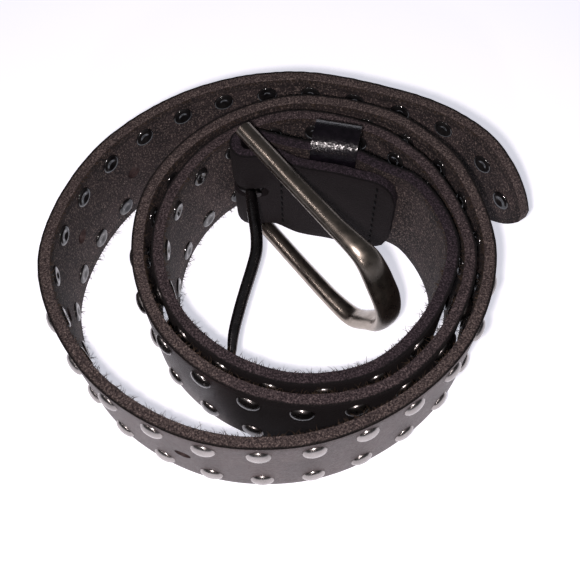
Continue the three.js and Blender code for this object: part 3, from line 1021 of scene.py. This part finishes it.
def makeProng():
    points = [Vector((a, b, 0)) * prong["length"] for a, b, c in prong["curve"]]
    line = flowingLine(points, prong["steps"])
    sizes = flowingSizes([c for a, b, c in prong["curve"]], prong["steps"])
    blade = wireAlong(line, sizes, prong["width"], "prongBlade", 6)
    clearSelection()
    bpy.ops.mesh.primitive_torus_add(major_segments=40, minor_segments=16,
                                     major_radius=prong["eyeReach"] * mm,
                                     minor_radius=prong["eyeThick"] / 2 * mm)
    eye = bpy.context.object
    eye.scale = (1, 1, prong["eyeTall"])
    placeFixed(eye)
    stub = wireAlong([Vector((a, b, 0)) for a, b, c in prong["stub"]],
                     [c for a, b, c in prong["stub"]], prong["stubThick"], "prongStub", 5)
    # The eye and the cut end get near-black metal, painted shade inside the fold
    for rod, metalUsed in ((blade, prongMetal), (eye, shadedInnerMetal), (stub, shadedInnerMetal)):
        giveFinish(rod, metalUsed)
    piece = joinPieces([blade, eye, stub], "prongRod")
    piece.location.z = prong["height"] * mm
    placeFixed(piece)
    standAtBar(piece, prong["heading"])
    smooth(piece, 60)
    return piece


prongPiece = makeProng()
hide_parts("prong")
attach(prongPiece, "prong")
print("prong made")


# Stitches that sew the flap down

stitches = {
    "rows": [8.6, 37.9],
    "margin": 3.0,
    "pitch": 3.4,
    "length": 2.4,
    "thick": 0.75,
    "raised": 0.02,
    "slant": 0.12,
}


def sewFlap():
    clearSelection()
    bpy.ops.mesh.primitive_uv_sphere_add(segments=10, ring_count=8, radius=0.5)
    pattern = bpy.context.object
    pattern.scale = Vector((stitches["thick"], stitches["thick"], stitches["length"])) * mm
    placeFixed(pattern)
    giveFinish(pattern, threadFinish)
    made = []
    for row in stitches["rows"]:
        x = foldStart - row
        height = stitches["margin"] + 1
        while height < strap["width"] - stitches["margin"]:
            place = Vector((x, stitches["raised"], route["buckleLift"] + height)) * mm
            made.append(copyTo(pattern, place, (0, stitches["slant"], 0)))
            height += stitches["pitch"]
    bpy.data.objects.remove(pattern, do_unlink=True)
    piece = joinPieces(made, "flapStitches")
    placeFixed(piece)
    bendAlongRoute(piece)
    smooth(piece, 60)
    return piece


stitchPiece = sewFlap()
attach(stitchPiece, "belt_strap")
print("flap sewn")


# Loose fibres along the flesh side's edges

fibres = {
    "topCount": 2300,
    "lowCount": 1300,
    "thick": 0.20,
    "rooted": 0.15,
    "parts": 3,
    "thinning": 0.7,
    "sideways": 0.8,
    "waver": (0.6, 1.2),
    "tailGap": 24,
    "topFrom": 60,
    "belowTop": 0.35,
    "topShortest": 0.6,
    "topSpread": 1.7,
    "topLean": (0.55, 1.0),
    "lowFrom": 70,
    "lowHeight": (0.1, 0.5),
    "lowLength": (0.7, 2.6),
    "lowLean": (0.6, 1.0),
}


def growFibre(data, distance, height, length, lean):
    # lean says how much of the length goes inwards rather than up
    place, along, outward = station(distance)
    root = place - outward * (strap["thickness"] - fibres["rooted"])
    side = along * random.uniform(-1, 1)
    shares = [k / fibres["parts"] for k in range(fibres["parts"] + 1)]
    places = []
    for share in shares:
        where = root - outward * (length * share * lean)
        where += side * (length * share ** 2 * fibres["sideways"])
        up = height + length * share * (1 - lean) * random.uniform(*fibres["waver"])
        places.append(inFrame(where, up))
    addSpline(data, places, [1 - fibres["thinning"] * share for share in shares])


def growFibres():
    data = newCurve("looseFibres", fibres["thick"])
    top = strap["width"] - fibres["belowTop"]
    for i in range(fibres["topCount"]):
        distance = random.uniform(fibres["topFrom"], strapLength - fibres["tailGap"])
        # Most stay short and a few reach out
        length = fibres["topShortest"] + fibres["topSpread"] * random.random() ** 3
        lean = random.uniform(*fibres["topLean"])
        growFibre(data, distance, top + lift(distance), length, lean)
    for i in range(fibres["lowCount"]):
        distance = random.uniform(fibres["lowFrom"], strapLength - fibres["tailGap"])
        height = lift(distance) + random.uniform(*fibres["lowHeight"])
        length = random.uniform(*fibres["lowLength"])
        growFibre(data, distance, height, length, random.uniform(*fibres["lowLean"]))
    piece = toMesh(showCurve(data))
    giveFinish(piece, hairFinish)
    return piece


fibrePiece = growFibres()
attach(fibrePiece, "belt_strap")
bpy.data.objects.remove(bendCurve, do_unlink=True)
print("fibres grown")


# Floor, light and camera

studio = {
    "floorSize": 6,
    "paper": (0.93, 0.93, 0.94, 1),
    "glow": (0.88, 0.89, 1.0, 1),
    "floorGlow": 0.64,
    "room": (0.95, 0.95, 1.0, 1),
    "worldLight": 0.06,
    "lights": [("softKey", (-0.016, -0.124, 0.240), 0.014, 1.85),
               ("frontGlint", (-0.012, -0.33, 0.215), 0.03, 0.25),
               ("sideGlint", (-0.30, 0.04, 0.42), 0.07, 0.30)],
    "lightsAim": (0, 0, 0.02),
    "warmth": (1.0, 0.91, 0.91),
    "cameraPlace": (-0.001526, -0.116366, 0.2444),
    "cameraTilt": 25.936,
    "cameraRoll": -1.418,
    "lens": 51.55,
    "sensor": 36,
    "nearest": 0.005,
}


def addLight(name, place, size, strength):
    bpy.ops.object.light_add(type="AREA", location=place)
    light = bpy.context.object
    light.name = name
    light.data.shape = "DISK"
    light.data.size = size
    light.data.energy = 1
    light.data.color = studio["warmth"]
    light.data.use_nodes = True
    lamp = light.data.node_tree
    even = addNode(lamp, "ShaderNodeLightFalloff", {"Strength": strength})
    lamp.links.new(even.outputs["Linear"], lamp.nodes["Emission"].inputs["Strength"])
    aim = Vector(studio["lightsAim"]) - Vector(place)
    light.rotation_euler = aim.to_track_quat("-Z", "Y").to_euler()


def makeFloor():
    clearSelection()
    bpy.ops.mesh.primitive_plane_add(size=studio["floorSize"], location=(0, 0, 0))
    floor = bpy.context.object
    floor.name = "paleFloor"
    made, tree, shader = newFinish("palePaper")
    setInputs(shader, {"Base Color": studio["paper"], "Roughness": 0.95, "Specular IOR Level": 0.1,
                       "Emission Color": studio["glow"], "Emission Strength": studio["floorGlow"]})
    giveFinish(floor, made)


def lightRoom():
    world = bpy.data.worlds.new("softRoom")
    bpy.context.scene.world = world
    world.use_nodes = True
    background = world.node_tree.nodes["Background"]
    setInputs(background, {"Color": studio["room"], "Strength": studio["worldLight"]})
    for name, place, size, strength in studio["lights"]:
        addLight(name, place, size, strength)


def placeCamera():
    bpy.ops.object.camera_add(location=studio["cameraPlace"])
    camera = bpy.context.object
    camera.data.lens = studio["lens"]
    camera.data.sensor_width = studio["sensor"]
    camera.data.clip_start = studio["nearest"]
    turned = (Matrix.Rotation(math.radians(studio["cameraTilt"]), 4, "X")
              @ Matrix.Rotation(math.radians(studio["cameraRoll"]), 4, "Z"))
    camera.rotation_euler = turned.to_euler()
    bpy.context.scene.camera = camera
    bpy.context.scene.view_settings.view_transform = "Standard"


makeFloor()
lightRoom()
placeCamera()
print("studio ready")
